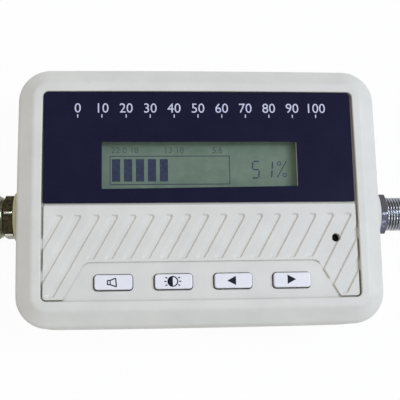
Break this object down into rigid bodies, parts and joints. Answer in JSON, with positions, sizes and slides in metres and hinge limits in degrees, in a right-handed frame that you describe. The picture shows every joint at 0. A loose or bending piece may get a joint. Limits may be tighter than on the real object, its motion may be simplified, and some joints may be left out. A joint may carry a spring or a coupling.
{
  "type": "satellite signal meter",
  "caption": "Hand-held signal meter: flat two-shell case with a sloping rim, a display window, a row of press keys and a coaxial connector at each end.",
  "frame": {"origin": "centre of the bounding box's base, on the flat rear face", "axes": "+X towards the end with the threaded jack, +Y towards the upper edge above the display, +Z out of the display face"},
  "size_m": [0.123, 0.0696, 0.025],
  "materials": {
    "front_case": "fine-textured ivory ABS",
    "rear_case": "fine-textured ivory ABS",
    "front_label": "satin navy printed overlay",
    "key": "satin cool white",
    "switch_housing": "black nylon",
    "switch_plunger": "grey nylon",
    "display_film": "grey-green polariser",
    "display_glass": "clear",
    "reflector_film": "diffuse reflector",
    "light_guide": "milky acrylic",
    "lamp": "yellow resin",
    "holder": "moulded white",
    "contact_strip": "conductive rubber",
    "board": "green solder mask",
    "screw": "plated steel",
    "sounder": "black moulded",
    "shield": "tin plate",
    "chip": "black epoxy",
    "crystal_can": "plated can",
    "capacitor_sleeve": "dark blue sleeve",
    "ferrite": "dark grey ferrite",
    "nickel": "nickel plate on brass",
    "bright_nickel": "bright nickel plate",
    "dark_nickel": "dark nickel plate",
    "insulator": "white moulded",
    "contact": "gold-plated contact"
  },
  "bodies": {
    "meter": {"front_case": "front_case", "rear_case": "rear_case", "front_label": "front_label", "sound_switch": "switch_housing", "light_switch": "switch_housing", "left_switch": "switch_housing", "right_switch": "switch_housing", "lcd_front_polariser": "display_film", "lcd_glass": "display_glass", "lcd_rear_polariser": "reflector_film", "lcd_light_guide": "light_guide", "lcd_light_lamp": "lamp", "lcd_holder": "holder", "lcd_contact_strip": "contact_strip", "main_board": "board", "board_screw_1": "screw", "board_screw_2": "screw", "board_screw_3": "screw", "board_screw_4": "screw", "case_screw_1": "screw", "case_screw_2": "screw", "case_screw_3": "screw", "case_screw_4": "screw", "sounder": "sounder", "tuner_shield": "shield", "controller_chip": "chip", "voltage_regulator": "chip", "timing_crystal": "crystal_can", "board_capacitor_1": "capacitor_sleeve", "board_capacitor_2": "capacitor_sleeve", "power_inductor": "ferrite", "right_jack_shell": "nickel", "right_jack_insulator": "insulator", "right_jack_contact": "contact", "right_lock_washer": "bright_nickel", "right_panel_nut": "bright_nickel", "left_plug_shell": "dark_nickel", "left_plug_insulator": "insulator", "left_plug_pin": "contact", "left_lock_washer": "bright_nickel", "left_panel_nut": "dark_nickel"},
    "sound_button": {"sound_key": "key", "sound_plunger": "switch_plunger"},
    "light_button": {"light_key": "key", "light_plunger": "switch_plunger"},
    "left_button": {"left_key": "key", "left_plunger": "switch_plunger"},
    "right_button": {"right_key": "key", "right_plunger": "switch_plunger"},
    "coupling_nut": {"left_coupling_nut": "dark_nickel"}
  },
  "joints": [
    {"name": "sound_press", "type": "slide", "parent": "meter", "child": "sound_button", "axis": [0, 0, -1], "range_m": [0, 0.0003], "stiffness_N_per_m": 4000},
    {"name": "light_press", "type": "slide", "parent": "meter", "child": "light_button", "axis": [0, 0, -1], "range_m": [0, 0.0003], "stiffness_N_per_m": 4000},
    {"name": "left_press", "type": "slide", "parent": "meter", "child": "left_button", "axis": [0, 0, -1], "range_m": [0, 0.0003], "stiffness_N_per_m": 4000},
    {"name": "right_press", "type": "slide", "parent": "meter", "child": "right_button", "axis": [0, 0, -1], "range_m": [0, 0.0003], "stiffness_N_per_m": 4000},
    {"name": "coupling_turn", "type": "hinge", "parent": "meter", "child": "coupling_nut", "pos_m": [-0.057, -0.00425, 0.013], "axis": [1, 0, 0], "continuous": true}
  ]
}
